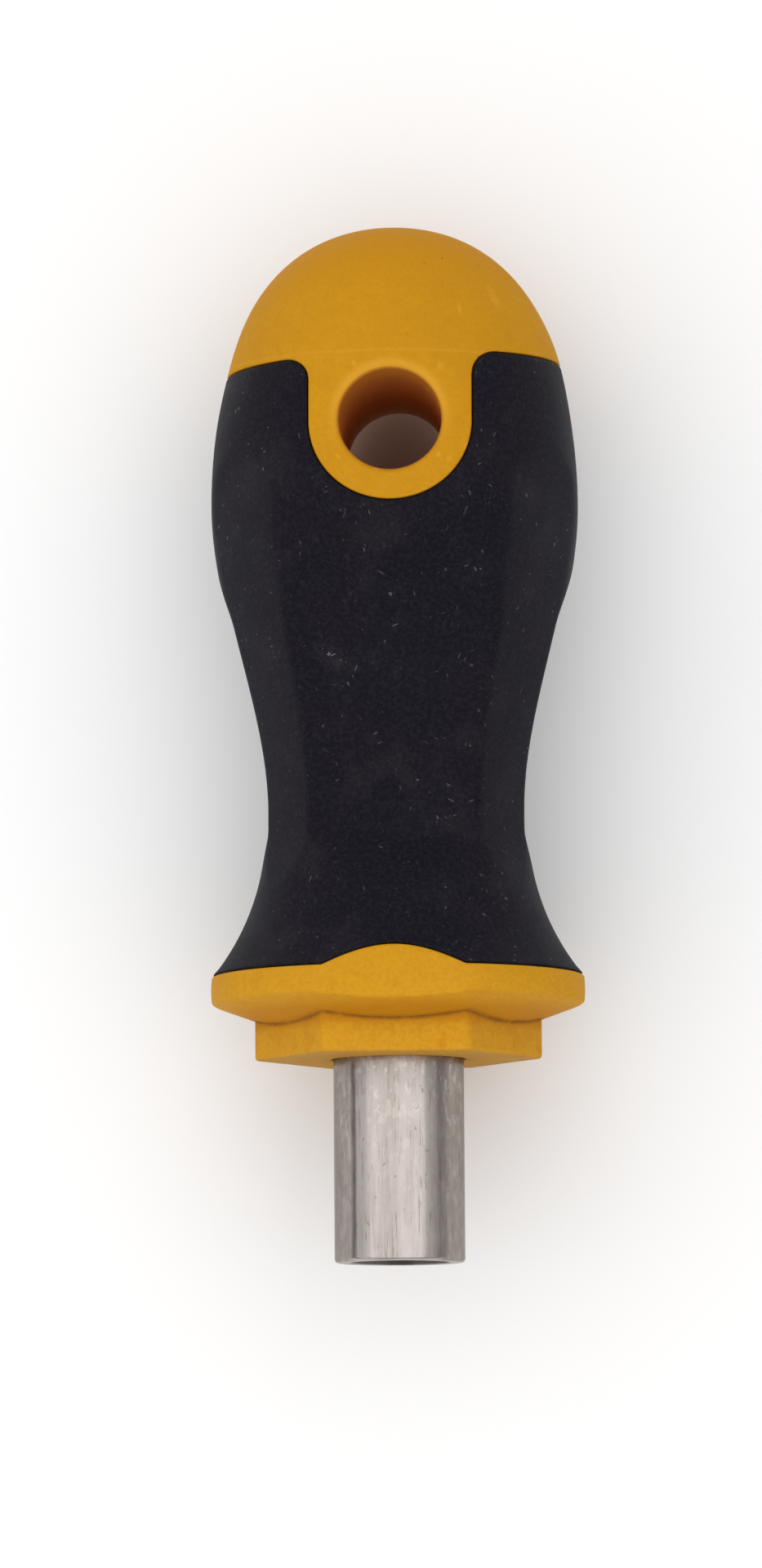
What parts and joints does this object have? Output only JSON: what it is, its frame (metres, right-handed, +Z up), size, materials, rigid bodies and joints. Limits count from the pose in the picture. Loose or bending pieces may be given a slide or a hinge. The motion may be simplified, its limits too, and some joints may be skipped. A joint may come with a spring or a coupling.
{
  "type": "stubby bit screwdriver",
  "caption": "Stubby hand screwdriver with a two-colour handle, a hanging hole, a hexagon collar and a round magnetic sleeve for quarter-inch hexagon bits.",
  "frame": {"origin": "on the surface that the tool lies on, under the middle of its length and width", "axes": "+Y along the tool from its nose to its dome, +Z up through the flat that faces the viewer, +X to the right as seen from the nose"},
  "size_m": [0.0298, 0.083, 0.0296],
  "materials": {
    "yellow_plastic": "yellow-orange moulded plastic with a fine satin grain",
    "black_soft_grip": "matte soft thermoplastic rubber, slightly dusty",
    "stainless_steel": "matte stainless steel with fine lengthwise streaks",
    "spring_steel": "plain round spring wire",
    "nickel_plated_magnet": "satin nickel plating",
    "bar_steel": "drawn bar steel"
  },
  "bodies": {
    "root": {"handle_core": "yellow_plastic", "soft_grip": "black_soft_grip", "bit_sleeve": "stainless_steel", "retaining_ring": "spring_steel", "socket_magnet": "nickel_plated_magnet", "hex_shank": "bar_steel"}
  },
  "joints": []
}
